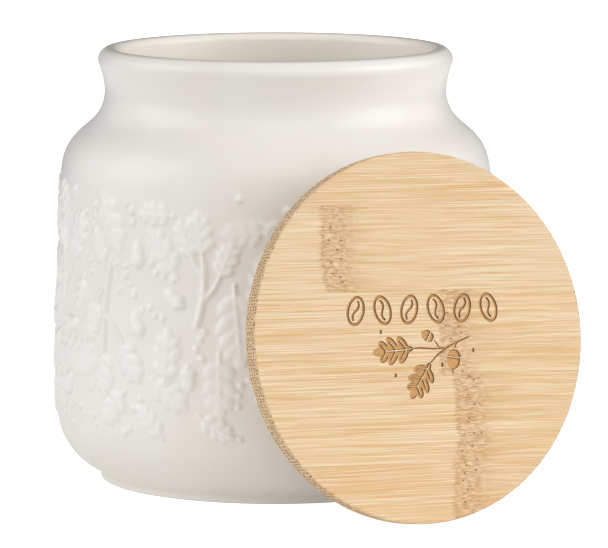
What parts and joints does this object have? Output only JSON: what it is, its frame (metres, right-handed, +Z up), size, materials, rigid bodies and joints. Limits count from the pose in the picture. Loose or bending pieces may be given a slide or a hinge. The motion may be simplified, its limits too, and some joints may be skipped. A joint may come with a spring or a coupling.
{
  "type": "coffee canister",
  "caption": "Round glazed ceramic storage canister with a foot ring and rolled lip, and a loose bamboo lid with a plug and a silicone seal ring.",
  "frame": {"origin": "centre of the canister's foot, on the plane that the foot and the lid stand on", "axes": "+Z up along the canister's axis, +X to the right and -Y towards the viewer; the lid leans on the -Y +X side"},
  "size_m": [0.1531, 0.1699, 0.1278],
  "materials": {
    "glazed_ceramic": "satin",
    "bamboo": "satin",
    "silicone": "matte"
  },
  "bodies": {
    "jar": {"jar_body": "glazed_ceramic"},
    "lid": {"lid_strip_1": "bamboo", "lid_strip_2": "bamboo", "lid_strip_3": "bamboo", "lid_strip_4": "bamboo", "lid_strip_5": "bamboo", "plug_strip_1": "bamboo", "plug_strip_2": "bamboo", "plug_strip_3": "bamboo", "plug_strip_4": "bamboo", "seal_ring": "silicone"}
  },
  "joints": [
    {"name": "lid_lift", "type": "slide", "parent": "jar", "child": "lid", "axis": [0.4542, -0.8761, 0.1616], "range_m": [0, 0.06]}
  ]
}
